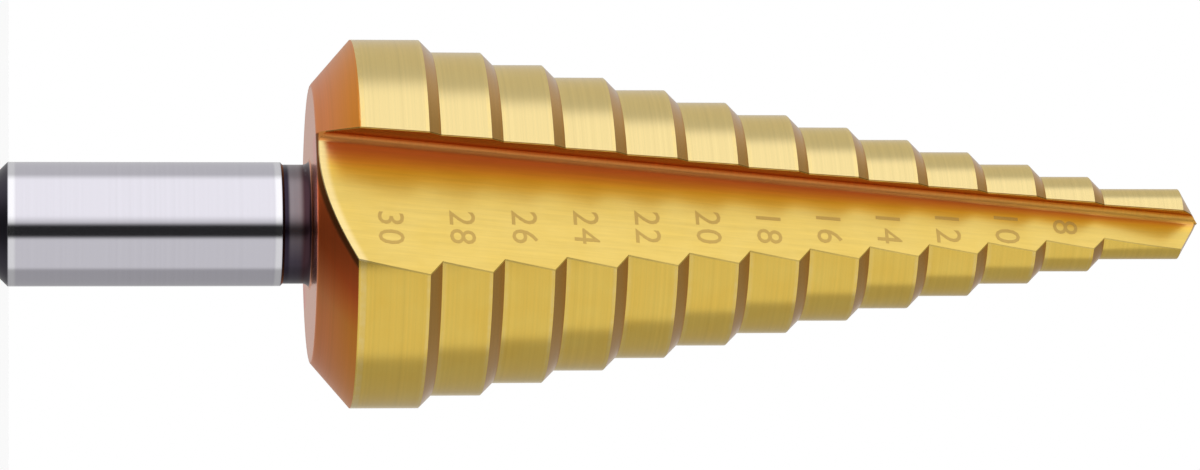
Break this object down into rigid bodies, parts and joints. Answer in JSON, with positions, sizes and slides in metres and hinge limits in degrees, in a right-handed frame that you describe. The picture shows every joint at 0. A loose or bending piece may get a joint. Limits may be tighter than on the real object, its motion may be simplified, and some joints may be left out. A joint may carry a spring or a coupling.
{
  "type": "step drill",
  "caption": "Conical stepped drill for sheet metal, gold-coated, with straight flutes and a plain round shank.",
  "frame": {"origin": "centre of the shank's end face, on which the drill stands", "axes": "+Z along the drill's axis from the shank to the point, -Y out of one flute"},
  "size_m": [0.0298, 0.029, 0.0984],
  "materials": {
    "coated_steel": "ground high-speed steel, gold nitride coating on the cutting head, bare ground shank"
  },
  "bodies": {
    "root": {"step_drill": "coated_steel"}
  },
  "joints": []
}
